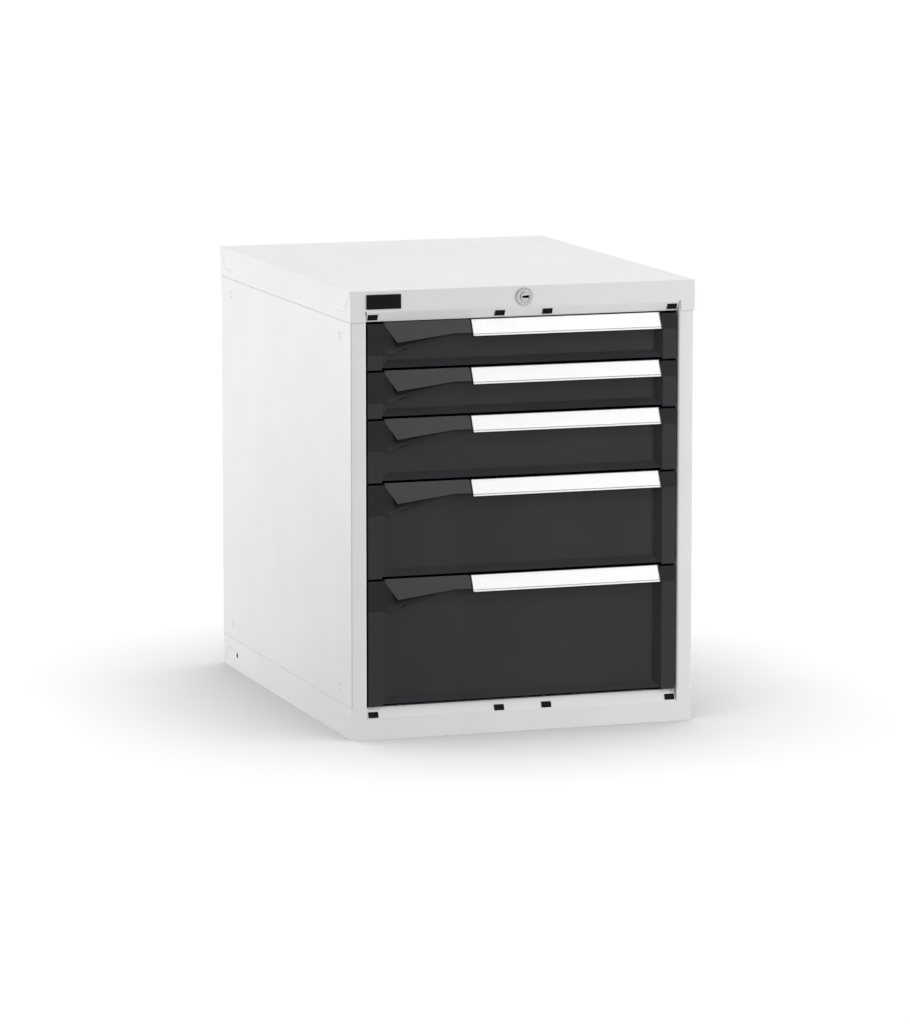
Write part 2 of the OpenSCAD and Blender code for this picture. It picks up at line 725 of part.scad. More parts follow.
// Welded from five sheets: sides with hems, floor, front wall and rear wall
module drawer_tray(i) color(drawer_colour) from_front() {
    low = place_bottom(i) + tray_lift;
    high = tray_top(i);
    wall_x = tray_in_x - tray_seam;
    wall_z = low + drawer_sheet + tray_seam;
    both_sides() {
        block([tray_in_x, tray_y, low], [tray_x, tray_rear_y, high]);
        block([tray_in_x, tray_y, high - drawer_sheet], [tray_x + tray_hem, tray_rear_y, high]);
    }
    block([-wall_x, tray_y, low], [wall_x, tray_rear_y, low + drawer_sheet]);
    block([-wall_x, tray_y, wall_z], [wall_x, tray_y + drawer_sheet, high]);
    block([-wall_x, tray_rear_y - drawer_sheet, wall_z], [wall_x, tray_rear_y, high]);
}

// Folded front sheet, seen from above: side folds, stiles, sloping borders and sunk panel
function front_outline() = let (
    back = drawer_sheet,
    half = [
        [front_x, front_inset + front_return], [front_x, front_inset],
        [panel_edge_x, front_inset], [panel_x, panel_y]
    ],
    half_back = [
        [panel_x + back * fold, panel_y + back], [panel_edge_x + back * fold, front_inset + back],
        [front_x - back, front_inset + back], [front_x - back, front_inset + front_return]
    ]
) concat(
    half,
    [for (n = [len(half) - 1:-1:0]) [-half[n][0], half[n][1]]],
    [for (n = [len(half_back) - 1:-1:0]) [-half_back[n][0], half_back[n][1]]],
    half_back
);

module drawer_front(i) color(drawer_colour) at_place(i) {
    low = front_lift - pitches[i];
    ledge = low + ledge_lift;
    difference() {
        along_z(low, -handle_top) polygon(front_outline());
        block([-front_x - past, 0, grip_bottom], [-panel_x, tray_y + front_return, past]);
        block([panel_x, 0, end_cap_bottom], [front_x + past, tray_y + front_return, past]);
        block([-panel_edge_x, 0, low - past], [panel_edge_x, tray_y + past, ledge]);
    }
    intersection() {
        along_x(-panel_edge_x, panel_edge_x) difference() {
            polygon([[front_inset, ledge], [panel_y, ledge + recess], [panel_y, ledge]]);
            polygon([
                [front_inset + drawer_sheet * (1 + sqrt(2)), ledge + drawer_sheet],
                [panel_y - drawer_sheet, ledge + recess - drawer_sheet * (1 + sqrt(2))],
                [panel_y - drawer_sheet, ledge + drawer_sheet]
            ]);
        }
        along_z(ledge, ledge + recess) polygon([
            [-panel_edge_x, front_inset], [panel_edge_x, front_inset], [panel_x, panel_y], [-panel_x, panel_y]
        ]);
    }
}

// A point at a distance down the label's slope, and at a depth behind its face
function label_point(down, deep) = [
    label_y - down * sin(label_angle) + deep * cos(label_angle),
    -handle_top - down * cos(label_angle) - deep * sin(label_angle)
];

// Point of the handle's inner face at a height
function inner_point(z) = let (down = (-handle_top - handle_wall * sin(label_angle) - z) / cos(label_angle))
    label_point(down, handle_wall);

// A layer of the label, between two depths, with a gap at each edge
module label_layer(gap, deep0, deep1) polygon([
    label_point(edge_rim + gap, deep0), label_point(label_slope - edge_rim - gap, deep0),
    label_point(label_slope - edge_rim - gap, deep1), label_point(edge_rim + gap, deep1)
]);

module drawer_handle(i) color(plastic_colour) at_place(i) difference() {
    along_x(handle_x0, handle_x1) polygon([
        [panel_y, -handle_top], [label_y, -handle_top], label_point(label_slope, 0),
        label_point(label_slope, handle_wall), inner_point(-handle_top - handle_foot),
        [panel_y - handle_foot, -handle_top - handle_foot],
        [panel_y - handle_foot, -handle_top - handle_foot_h], [panel_y, -handle_top - handle_foot_h]
    ]);
    along_x(handle_x0 + end_rim, handle_x1 - end_rim) label_layer(0, -past, card_t + cover_t);
}

module label_piece(i, deep0, deep1) at_place(i)
    along_x(handle_x0 + end_rim + label_gap, handle_x1 - end_rim - label_gap)
        label_layer(label_gap, deep0, deep1);

module drawer_label_card(i) color(paper_colour) label_piece(i, cover_t, cover_t + card_t);

module drawer_label_cover(i) color(clear_colour) label_piece(i, 0, cover_t);

// Left grip: a flat corner that swells into the sloping facet beside the label
function smooth(t) = let (u = min(max(t, 0), 1)) u * u * (3 - 2 * u);
function mix(a, b, t) = a + (b - a) * t;
tip_x = facet_x + facet_tip_x;
function facet_drop(x) = x <= tip_x
    ? mix(1, facet_tip_drop, (x - facet_x) / facet_tip_x)
    : mix(facet_tip_drop, facet_end_drop, min((x - tip_x) / facet_rise_l, 1));
function underside_z(x) = let (t = smooth((x - facet_x) / (grip_end_x - facet_x)))
    mix(grip_bottom, -handle_top - grip_end_drop, t);

// Section of the facet's stretch: top, facet, underside
function grip_section(x) = let (
    lip = label_point(facet_drop(x) / cos(label_angle), 0),
    heel = [x < -panel_x ? tray_y : panel_y, underside_z(x)],
    swell = smooth((x - facet_x) / (2 * facet_tip_x)),
    flat = [for (t = [0.15, 0.5, 1]) [front_inset, mix(lip[1], heel[1], t)]],
    scoop = [for (t = [0.25, 0.5, 0.75]) mix(lip, [panel_y, heel[1]], t)]
) concat(
    [[heel[0], -handle_top], [label_y, -handle_top], lip],
    [for (n = [0:2]) mix(flat[n], scoop[n], swell)],
    [heel]
);

// Section of the flat corner, with the same number of points
flat_section = concat(
    [[tray_y, -cap_top], [front_inset, -cap_top]],
    [for (t = [0.05, 0.3, 0.6, 1]) [front_inset, mix(-cap_top, grip_bottom, t)]],
    [[tray_y, grip_bottom]]
);

module grip() {
    step = 0.05;
    stations = concat(
        [for (t = [0:0.5:1]) mix(facet_x + step, -panel_x - step, t)],
        [for (t = [0:0.25:1]) mix(-panel_x + step, tip_x, t)],
        [for (t = [0.1:0.1:1]) mix(tip_x, grip_end_x, t)]
    );
    sections = concat(
        [[-front_x, flat_section], [facet_x - step, flat_section]],
        [for (x = stations) [x, grip_section(x)]]
    );
    sides = len(flat_section);
    rings = len(sections);
    points = [for (s = sections) for (p = s[1]) [s[0], p[0], p[1]]];
    faces = concat(
        [[for (n = [0:sides - 1]) n]],
        [for (k = [0:rings - 2]) for (n = [0:sides - 1]) let (
            a = k * sides + n, b = k * sides + (n + 1) % sides
        ) each [[a, a + sides, b + sides], [a, b + sides, b]]],
        [[for (n = [sides - 1:-1:0]) (rings - 1) * sides + n]]
    );
    polyhedron(points, faces);
}

// Right end: a corner block with a web on the sunk panel, its upper corner bevelled
module right_end() difference() {
    along_z(end_cap_bottom, -cap_top) polygon([
        [panel_x, tray_y], [panel_x, panel_y], [end_cap_x, panel_y], [end_cap_x, front_inset],
        [front_x, front_inset], [front_x, tray_y]
    ]);
    translate([front_x, tray_y / 2, -cap_top]) rotate([0, 45, 0])
        cube([end_cap_bevel * sqrt(2), 2 * tray_y, end_cap_bevel * sqrt(2)], center = true);
}

module drawer_handle_ends(i) color(plastic_colour) at_place(i) {
    grip();
    right_end();
}

module drawer_inner_runners(i) color(zinc_colour) from_front() both_sides()
    translate([0, 0, place_bottom(i) + runner_mid]) along_y(runner_y, runner_end_y)
        polygon(channel_outline(tray_x, inner_tip_x, inner_half));

module drawer_middle_runners(i) color(zinc_colour) from_front() both_sides()
    translate([0, 0, place_bottom(i) + runner_mid]) along_y(runner_y, runner_end_y)
        polygon(channel_outline(middle_web_x, middle_tip_x, middle_half));

function shown(name) = node == "all" || node == name;

if (shown("top_cover")) top_cover();
if (shown("base_tray")) base_tray();
if (shown("left_side_panel")) left_side_panel();
if (shown("right_side_panel")) right_side_panel();
if (shown("back_panel")) back_panel();
if (shown("back_panel_screws")) back_panel_screws();
if (shown("uprights")) uprights();
if (shown("cabinet_runners")) cabinet_runners();
if (shown("side_hole_caps")) side_hole_caps();
if (shown("slot_plugs")) slot_plugs();
if (shown("name_plate")) name_plate();
if (shown("lock_housing")) lock_housing();
if (shown("lock_nut")) lock_nut();
if (shown("lock_plug")) lock_plug();
if (shown("lock_rod")) lock_rod();
if (shown("rod_bracket")) rod_bracket();
if (shown("locking_bar")) locking_bar();
if (shown("bar_guides")) bar_guides();
if (shown("bar_channel")) bar_channel();
for (i = [0:last]) {
    if (shown(drawer_name(i, "tray"))) drawer_tray(i);
    if (shown(drawer_name(i, "front"))) drawer_front(i);
    if (shown(drawer_name(i, "handle"))) drawer_handle(i);
    if (shown(drawer_name(i, "handle_ends"))) drawer_handle_ends(i);
    if (shown(drawer_name(i, "label_card"))) drawer_label_card(i);
    if (shown(drawer_name(i, "label_cover"))) drawer_label_cover(i);
    if (shown(drawer_name(i, "inner_runners"))) drawer_inner_runners(i);
    if (shown(drawer_name(i, "middle_runners"))) drawer_middle_runners(i);
}
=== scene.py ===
"""A five-drawer workshop cabinet: its finishes and fine forms, a studio floor, soft light and a camera."""

import json
import math

import bmesh
import bpy
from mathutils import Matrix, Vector


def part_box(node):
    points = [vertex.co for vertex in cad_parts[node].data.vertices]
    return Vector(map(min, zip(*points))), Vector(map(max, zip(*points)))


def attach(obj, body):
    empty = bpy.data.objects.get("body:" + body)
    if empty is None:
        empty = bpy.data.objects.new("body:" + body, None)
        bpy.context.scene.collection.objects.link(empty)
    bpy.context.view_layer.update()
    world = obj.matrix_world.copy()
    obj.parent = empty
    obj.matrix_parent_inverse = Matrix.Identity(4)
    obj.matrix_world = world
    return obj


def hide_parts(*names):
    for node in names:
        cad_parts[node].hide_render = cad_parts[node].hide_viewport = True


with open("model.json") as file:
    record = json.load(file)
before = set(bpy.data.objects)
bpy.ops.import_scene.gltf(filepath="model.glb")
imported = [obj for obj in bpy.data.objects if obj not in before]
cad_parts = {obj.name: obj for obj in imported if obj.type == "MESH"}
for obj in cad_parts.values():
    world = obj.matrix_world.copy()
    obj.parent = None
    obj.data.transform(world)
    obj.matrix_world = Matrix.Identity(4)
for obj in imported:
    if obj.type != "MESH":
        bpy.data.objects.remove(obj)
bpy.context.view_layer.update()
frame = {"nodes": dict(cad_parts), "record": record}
record = frame["record"]
BODY_OF = {node: body for body, nodes in record["behaviour"]["bodies"].items() for node in nodes}
SLOT_OF = {entry["node"]: entry["material_slot"] for entry in record["subparts"]}
DRAWERS = range(1, 6)
MM = 0.001

# Sizes of the handles in millimetres, as in the part.
# Depths count back from the top cover's front plane and drops down from the top of a drawer's place.
STILE_PLANE = 3.0
PANEL_PLANE = 14.0
PANEL_BACK = 15.2
PANEL_HALF_W = 219.5
FRONT_HALF_W = 253.0
HANDLE_TOP = 0.3
LABEL_PLANE = 6.0
LABEL_H = 25.4
LABEL_LEAN = 13.0
LABEL_ANGLE = math.atan2(LABEL_LEAN, LABEL_H)
END_TOP = 2.6
GRIP_FLAT_X = -228.0
GRIP_END_X = -87.0
GRIP_BOTTOM = 50.6
GRIP_END_DROP = 23.6
FACET_START_DROP = 1.0
FACET_TIP_X = -209.0
FACET_TIP_DROP = 30.8
FACET_RISE_L = 93.0
FACET_END_DROP = 20.1
FACET_END_ROUND = 4.0
END_CAP_X = 227.2
END_CAP_H = 24.5
END_CAP_BEVEL = 2.5

front_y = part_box("top_cover")[0].y


def at_place(drawer, x, depth, drop):
    """The point across the front, behind the cover's plane and below the top of a drawer's place."""
    place_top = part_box(f"drawer_{drawer}_handle")[1].z + HANDLE_TOP * MM
    return Vector((x * MM, front_y + depth * MM, place_top - drop * MM))


# Finishes

# The middle stretch of a noise's values, over which a colour or a number changes
TINT_RANGE = (0.35, 0.65)
SPREAD_RANGE = (0.3, 0.7)
# How far the grain moves the roughness up and down
PAINT_DRIFT = 0.07
PLASTIC_DRIFT = 0.08
# Where the card's painted shade line lies on its slope, from its lower edge, and how wide it is, as shares
# of the slope: a grey band painted in place of the shade in a groove at the channel's lower edge
CARD_SHADE_LINE = 0.125
CARD_SHADE_LINE_W = 0.05


def finish(name, roughness, metallic=0.0):
    """A new material, its nodes, its shader and the object coordinates that its patterns read."""
    material = bpy.data.materials.new(name)
    material.use_nodes = True
    tree = material.node_tree
    shader = tree.nodes["Principled BSDF"]
    shader.inputs["Roughness"].default_value = roughness
    shader.inputs["Metallic"].default_value = metallic
    place = tree.nodes.new("ShaderNodeTexCoord").outputs["Object"]
    return material, tree, shader, place


def grain(tree, place, size, detail=2.0, stretch=(1.0, 1.0, 1.0)):
    """Noise with features of about that size in metres, drawn out along the axes by the stretch."""
    mapping = tree.nodes.new("ShaderNodeMapping")
    mapping.inputs["Scale"].default_value = [1 / length for length in stretch]
    noise = tree.nodes.new("ShaderNodeTexNoise")
    noise.inputs["Scale"].default_value = 1 / size
    noise.inputs["Detail"].default_value = detail
    tree.links.new(place, mapping.inputs["Vector"])
    tree.links.new(mapping.outputs["Vector"], noise.inputs["Vector"])
    return noise.outputs["Fac"]


def tint(tree, pattern, dark, light, socket):
    """Colours the socket from dark to light by the pattern."""
    ramp = tree.nodes.new("ShaderNodeValToRGB")
    for stop, position, colour in zip(ramp.color_ramp.elements, TINT_RANGE, (dark, light)):
        stop.position = position
        stop.color = (*colour, 1)
    tree.links.new(pattern, ramp.inputs["Fac"])
    tree.links.new(ramp.outputs["Color"], socket)


def spread(tree, pattern, low, high, socket):
    """Sets the socket between two numbers by the pattern."""
    span = tree.nodes.new("ShaderNodeMapRange")
    span.inputs["From Min"].default_value, span.inputs["From Max"].default_value = SPREAD_RANGE
    span.inputs["To Min"].default_value = low
    span.inputs["To Max"].default_value = high
    tree.links.new(pattern, span.inputs["Value"])
    tree.links.new(span.outputs["Result"], socket)


def relief(tree, shader, pattern, depth, strength):
    """Raises the surface by the pattern, to a depth in metres."""
    bump = tree.nodes.new("ShaderNodeBump")
    bump.inputs["Distance"].default_value = depth
    bump.inputs["Strength"].default_value = strength
    tree.links.new(pattern, bump.inputs["Height"])
    tree.links.new(bump.outputs["Normal"], shader.inputs["Normal"])


def powder_coat(name, dark, light, roughness, gloss):
    """Baked powder paint: a fine orange-peel grain, and a faint drift in its tone."""
    material, tree, shader, place = finish(name, roughness)
    shader.inputs["Specular IOR Level"].default_value = gloss
    peel = grain(tree, place, size=0.0011, detail=3.0)
    tint(tree, grain(tree, place, size=0.12), dark, light, shader.inputs["Base Color"])
    spread(tree, peel, roughness - PAINT_DRIFT, roughness + PAINT_DRIFT, shader.inputs["Roughness"])
    relief(tree, shader, peel, depth=0.00006, strength=0.5)
    return material


def moulded_plastic(name, dark, light, roughness, gloss):
    """Spark-eroded moulded plastic: a sharp fine grain with a satin sheen."""
    material, tree, shader, place = finish(name, roughness)
    shader.inputs["Specular IOR Level"].default_value = gloss
    leather = grain(tree, place, size=0.0006, detail=4.0)
    tint(tree, grain(tree, place, size=0.03), dark, light, shader.inputs["Base Color"])
    spread(tree, leather, roughness - PLASTIC_DRIFT, roughness + PLASTIC_DRIFT, shader.inputs["Roughness"])
    relief(tree, shader, leather, depth=0.00003, strength=0.5)
    return material


def zinc_plate(name):
    """Zinc-plated strip steel: rolled along its length, with a cloudy bloom."""
    material, tree, shader, place = finish(name, roughness=0.36, metallic=1.0)
    rolled = grain(tree, place, size=0.0008, stretch=(1.0, 60.0, 1.0))
    bloom = grain(tree, place, size=0.02, detail=3.0)
    tint(tree, bloom, (0.5, 0.51, 0.53), (0.66, 0.67, 0.69), shader.inputs["Base Color"])
    spread(tree, rolled, 0.28, 0.46, shader.inputs["Roughness"])
    relief(tree, shader, rolled, depth=0.00002, strength=0.4)
    return material


def bright_chrome(name):
    """Polished chrome with fine turning marks."""
    material, tree, shader, place = finish(name, roughness=0.22, metallic=1.0)
    marks = grain(tree, place, size=0.0005)
    haze = grain(tree, place, size=0.006)
    tint(tree, haze, (0.5, 0.505, 0.515), (0.58, 0.585, 0.595), shader.inputs["Base Color"])
    spread(tree, marks, 0.18, 0.28, shader.inputs["Roughness"])
    relief(tree, shader, marks, depth=0.00001, strength=0.3)
    return material


def blank_card(name):
    """White card with a faint fibre, and a thin grey line of painted shade where its channel's lower edge
    begins, in place of the shade in a groove there.
    """
    material, tree, shader, place = finish(name, roughness=0.6)
    shader.inputs["Specular IOR Level"].default_value = 0.3
    fibre = grain(tree, place, size=0.0007, detail=3.0)
    down = tree.nodes.new("ShaderNodeSeparateXYZ")
    tree.links.new(tree.nodes.new("ShaderNodeTexCoord").outputs["UV"], down.inputs["Vector"])
    # A band of painted shade across the card: grey where a groove's shade would fall, at a fixed share up
    # the slope
    shade_band = tree.nodes.new("ShaderNodeMath")
    shade_band.operation = "COMPARE"
    shade_band.inputs[1].default_value = CARD_SHADE_LINE
    shade_band.inputs[2].default_value = CARD_SHADE_LINE_W / 2
    tree.links.new(down.outputs["Y"], shade_band.inputs[0])
    paper = tree.nodes.new("ShaderNodeValToRGB")
    paper.color_ramp.elements[0].color = (0.9, 0.9, 0.9, 1)
    paper.color_ramp.elements[1].color = (0.97, 0.97, 0.97, 1)
    tree.links.new(fibre, paper.inputs["Fac"])
    paper_and_shade = tree.nodes.new("ShaderNodeMix")
    paper_and_shade.data_type = "RGBA"
    # The grey of the painted shade line
    paper_and_shade.inputs["B"].default_value = (0.25, 0.25, 0.25, 1)
    tree.links.new(paper.outputs["Color"], paper_and_shade.inputs["A"])
    tree.links.new(shade_band.outputs["Value"], paper_and_shade.inputs["Factor"])
    tree.links.new(paper_and_shade.outputs["Result"], shader.inputs["Base Color"])
    relief(tree, shader, fibre, depth=0.00002, strength=0.3)
    return material


def clear_strip(name):
    """Clear glossy plastic over the label."""
    material, tree, shader, place = finish(name, roughness=0.12)
    shader.inputs["Base Color"].default_value = (1, 1, 1, 1)
    shader.inputs["Alpha"].default_value = 0.1
    spread(tree, grain(tree, place, size=0.004), 0.08, 0.18, shader.inputs["Roughness"])
    return material


FINISHES = {
    "housing_paint": powder_coat(
        "off_white_powder_coat", (0.65, 0.645, 0.632), (0.67, 0.665, 0.652), roughness=0.42, gloss=0.3
    ),
    "drawer_paint": powder_coat(
        "anthracite_powder_coat", (0.024, 0.0246, 0.0284), (0.028, 0.0286, 0.0325), roughness=0.5, gloss=0.15
    ),
    "black_plastic": moulded_plastic(
        "black_moulded_plastic", (0.008, 0.008, 0.0082), (0.01, 0.01, 0.0102), roughness=0.32, gloss=0.22
    ),
    "deep_black_plastic": moulded_plastic(
        "deep_black_plastic", (0.003, 0.003, 0.003), (0.004, 0.004, 0.004), roughness=0.55, gloss=0.1
    ),
    "white_plastic": moulded_plastic(
        "off_white_plastic", (0.66, 0.66, 0.64), (0.72, 0.72, 0.7), roughness=0.5, gloss=0.3
    ),
    "label_card": blank_card("blank_label_card"),
    "label_cover": clear_strip("clear_label_strip"),
    "zinc": zinc_plate("zinc_plated_steel"),
    "chrome": bright_chrome("polished_chrome"),
}


# Rounded folds and broken edges

# Corners closer than this, in metres, are one corner, and faces closer than this in angle are one face
WELD_GAP = 0.000002
FLAT_ANGLE = math.radians(0.4)
# An edge sharper than the first angle is rounded, and one blunter than the second is shaded smooth
FOLD_ANGLE = math.radians(20)
SMOOTH_ANGLE = math.radians(30)
FOLD_SEGMENTS = 3
# Rounding of a sheet's cut edges, as a share of its folds' rounding
CUT_EDGE_SHARE = 0.22
# A face narrower than this, in millimetres, is a sheet's cut edge: on the housing, on the drawers, on a card
HOUSING_CUT_W = 4.0
DRAWER_CUT_W = 2.0
CARD_CUT_W = 0.5
# Rounding of the folds in millimetres
FOLD_RADII = {
    "top_cover": 1.6, "base_tray": 3.0, "left_side_panel": 1.2, "right_side_panel": 1.2, "back_panel": 1.4,
    "uprights": 1.2, "cabinet_runners": 1.0, "side_hole_caps": 0.5, "slot_plugs": 0.5, "name_plate": 0.5,
    "lock_housing": 0.4, "lock_nut": 0.5, "lock_plug": 0.15, "lock_rod": 0.6, "rod_bracket": 1.0,
    "locking_bar": 0.8, "bar_guides": 1.2, "bar_channel": 1.2,
}
TRAY_FOLD_RADIUS = 1.0
FRONT_FOLD_RADIUS = 2.5
RUNNER_FOLD_RADIUS = 1.0
CARD_FOLD_RADIUS = 0.1
# Rounding of all the edges of a handle's profile, whose rims are thin
HANDLE_EDGE = 0.15


def new_piece(node, kind, form):
    """Puts a form in the scene as a piece in the node's finish."""
    mesh = bpy.data.meshes.new(f"{node}_{kind}")
    form.to_mesh(mesh)
    form.free()
    mesh.materials.append(FINISHES[SLOT_OF[node]])
    piece = bpy.data.objects.new(mesh.name, mesh)
    bpy.context.scene.collection.objects.link(piece)
    return piece


def seat(piece, node):
    """Seats a finished piece on the node's body, in the node's place."""
    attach(piece, BODY_OF[node])
    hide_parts(node)


def reach(edge, face):
    """How far a face reaches away from one of its edges."""
    start = edge.verts[0].co
    along = (edge.verts[1].co - start).normalized()
    return max((corner.co - start).cross(along).length for corner in face.verts)


def fold_weight(edge, cut_w, inside):
    """The share of the rounding that an edge takes: all on the outside of a fold, and some on its inside."""
    if len(edge.link_faces) != 2 or edge.calc_face_angle(0) < FOLD_ANGLE:
        return 0.0
    if min(reach(edge, face) for face in edge.link_faces) < cut_w:
        return CUT_EDGE_SHARE
    return 1.0 if edge.is_convex else inside


def whole_faces(node):
    """The node's loose triangles joined into whole faces."""
    form = bmesh.new()
    form.from_mesh(frame["nodes"][node].data)
    bmesh.ops.remove_doubles(form, verts=form.verts, dist=WELD_GAP)
    bmesh.ops.dissolve_limit(form, angle_limit=FLAT_ANGLE, verts=form.verts, edges=form.edges)
    return form


def rounded(node, radius, cut_w=HOUSING_CUT_W, inside=0.0):
    """A copy of the node with its folds rounded to a radius and its cut edges broken, in millimetres."""
    form = whole_faces(node)
    weights = form.edges.layers.float.new("bevel_weight_edge")
    for edge in form.edges:
        edge[weights] = fold_weight(edge, cut_w * MM, inside)
        edge.smooth = edge.calc_face_angle(0) < SMOOTH_ANGLE
    for face in form.faces:
        face.smooth = True
    piece = new_piece(node, "rounded", form)
    bevel = piece.modifiers.new("rounded folds", "BEVEL")
    bevel.limit_method = "WEIGHT"
    bevel.width = radius * MM
    bevel.segments = FOLD_SEGMENTS
    bevel.harden_normals = True
    return piece


# What repeats: the divider slots in the trays' walls and the heads of the back panel's screws

# The slots, in millimetres, and how far their cutters reach past the walls
SLOT_W = 2.4
SLOT_H = 16.0
SLOT_PITCH = 17.0
SLOT_ROW_PITCH = 26.0
SLOT_END_ROOM = 26.0
SLOT_FLOOR_ROOM = 12.0
SLOT_HEM_ROOM = 9.0
SLOT_OVERCUT = 2.0
# A slit of the screws' cross recess, and the width of a head's top as a share of its foot
SCREW_RECESS = Vector((4.4, 1.0, 2.4)) * MM
SCREW_TOP_SHARE = 0.72
SCREW_SIDES = 24


def open_tree(name, sizes):
    """A new tree of geometry nodes: a shape, named sizes and a material go in, a shape comes out."""
    tree = bpy.data.node_groups.new(name, "GeometryNodeTree")
    tree.interface.new_socket("Shape", in_out="INPUT", socket_type="NodeSocketGeometry")
    for label, kind in sizes.items():
        tree.interface.new_socket(label, in_out="INPUT", socket_type=kind)
    tree.interface.new_socket("Material", in_out="INPUT", socket_type="NodeSocketMaterial")
    tree.interface.new_socket("Shape", in_out="OUTPUT", socket_type="NodeSocketGeometry")
    return tree, tree.nodes.new("NodeGroupInput").outputs


def tree_node(tree, kind, **links):
    """A node in the tree, with its inputs linked by name."""
    node = tree.nodes.new(kind)
    for label, source in links.items():
        tree.links.new(source, node.inputs[label.replace("_", " ")])
    return node


def close_tree(tree, given, shape):
    """Ends the tree in one plain shape with the given material."""
    realized = tree_node(tree, "GeometryNodeRealizeInstances", Geometry=shape)
    painted = tree_node(
        tree, "GeometryNodeSetMaterial", Geometry=realized.outputs["Geometry"], Material=given["Material"]
    )
    tree_node(tree, "NodeGroupOutput", Shape=painted.outputs["Geometry"])
    return tree


def slot_tree():
    """Cuts columns and rows of slots through the walls of a tray."""
    tree, given = open_tree("divider_slots", {
        "Start": "NodeSocketVector", "Column Step": "NodeSocketVector", "Columns": "NodeSocketInt",
        "Row Step": "NodeSocketVector", "Rows": "NodeSocketInt", "Slot Size": "NodeSocketVector",
    })
    slot = tree_node(tree, "GeometryNodeMeshCube", Size=given["Slot Size"])
    rows = tree_node(tree, "GeometryNodeMeshLine", Count=given["Rows"], Offset=given["Row Step"])
    column = tree_node(
        tree, "GeometryNodeInstanceOnPoints", Points=rows.outputs["Mesh"], Instance=slot.outputs["Mesh"]
    )
    columns = tree_node(
        tree, "GeometryNodeMeshLine", Count=given["Columns"], Start_Location=given["Start"],
        Offset=given["Column Step"],
    )
    slots = tree_node(
        tree, "GeometryNodeInstanceOnPoints", Points=columns.outputs["Mesh"],
        Instance=column.outputs["Instances"],
    )
    cutters = tree_node(tree, "GeometryNodeRealizeInstances", Geometry=slots.outputs["Instances"])
    cut = tree_node(
        tree, "GeometryNodeMeshBoolean", Mesh_1=given["Shape"], Mesh_2=cutters.outputs["Geometry"]
    )
    return close_tree(tree, given, cut.outputs["Mesh"])


def screw_tree():
    """Sets a cross-recessed pan head at each point."""
    tree, given = open_tree("screw_heads", {
        "Foot Radius": "NodeSocketFloat", "Top Radius": "NodeSocketFloat", "Head Height": "NodeSocketFloat",
        "Recess": "NodeSocketVector", "Turn": "NodeSocketRotation",
    })
    pan = tree_node(
        tree, "GeometryNodeMeshCone", Radius_Bottom=given["Foot Radius"], Radius_Top=given["Top Radius"],
        Depth=given["Head Height"],
    )
    pan.inputs["Vertices"].default_value = SCREW_SIDES
    slot = tree_node(tree, "GeometryNodeMeshCube", Size=given["Recess"])
    raised = tree_node(tree, "ShaderNodeCombineXYZ", Z=given["Head Height"])
    along = tree_node(
        tree, "GeometryNodeTransform", Geometry=slot.outputs["Mesh"], Translation=raised.outputs["Vector"]
    )
    across = tree_node(tree, "GeometryNodeTransform", Geometry=along.outputs["Geometry"])
    across.inputs["Rotation"].default_value = (0, 0, math.radians(90))
    slit = tree_node(
        tree, "GeometryNodeMeshBoolean", Mesh_1=pan.outputs["Mesh"], Mesh_2=along.outputs["Geometry"]
    )
    head = tree_node(
        tree, "GeometryNodeMeshBoolean", Mesh_1=slit.outputs["Mesh"], Mesh_2=across.outputs["Geometry"]
    )
    heads = tree_node(
        tree, "GeometryNodeInstanceOnPoints", Points=given["Shape"], Instance=head.outputs["Mesh"],
        Rotation=given["Turn"],
    )
    return close_tree(tree, given, heads.outputs["Instances"])


def grown(piece, tree, sizes, material):
    """Runs the tree on the piece, and leaves the result as the piece's plain mesh."""
    modifier = piece.modifiers.new(tree.name, "NODES")
    modifier.node_group = tree
    values = {**sizes, "Material": material}
    for socket in tree.interface.items_tree:
        if socket.in_out == "INPUT" and socket.name in values:
            modifier[socket.identifier] = values[socket.name]
    shaped = piece.evaluated_get(bpy.context.evaluated_depsgraph_get())
    mesh = bpy.data.meshes.new_from_object(shaped)
    piece.modifiers.clear()
    piece.data = mesh


def slotted_tray(drawer, divider_slots):
    """A tray with slots for dividers along its four walls."""
    node = f"drawer_{drawer}_tray"
    low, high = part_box(node)
    wide, deep, tall = (high - low) / MM
    piece = rounded(node, TRAY_FOLD_RADIUS, DRAWER_CUT_W)
    rows = 1 + int((tall - SLOT_FLOOR_ROOM - SLOT_HEM_ROOM - SLOT_H) / SLOT_ROW_PITCH)
    lowest = low.z + (SLOT_FLOOR_ROOM + SLOT_H / 2) * MM
    middle = (low + high) / 2
    for along, length, through in ((0, wide, deep), (1, deep, wide)):
        columns = 1 + int((length - 2 * SLOT_END_ROOM) / SLOT_PITCH)
        start = Vector((middle.x, middle.y, lowest))
        start[along] -= (columns - 1) / 2 * SLOT_PITCH * MM
        step = Vector((0, 0, 0))
        step[along] = SLOT_PITCH * MM
        cutter_l = through + 2 * SLOT_OVERCUT
        size = Vector((cutter_l, cutter_l, SLOT_H)) * MM
        size[along] = SLOT_W * MM
        grown(piece, divider_slots, {
            "Start": start, "Column Step": step, "Columns": columns,
            "Row Step": Vector((0, 0, SLOT_ROW_PITCH * MM)), "Rows": rows, "Slot Size": size,
        }, FINISHES[SLOT_OF[node]])
    for face in piece.data.polygons:
        face.use_smooth = False
    seat(piece, node)


def loose_boxes(form):
    """The low and high corner of each loose piece of a form."""
    boxes = []
    seen = set()
    for first in form.verts:
        if first in seen:
            continue
        seen.add(first)
        found = [first]
        for vert in found:
            others = [edge.other_vert(vert) for edge in vert.link_edges]
            fresh = [other for other in others if other not in seen]
            seen.update(fresh)
            found.extend(fresh)
        low = Vector(min(vert.co[axis] for vert in found) for axis in range(3))
        high = Vector(max(vert.co[axis] for vert in found) for axis in range(3))
        boxes.append((low, high))
    return boxes


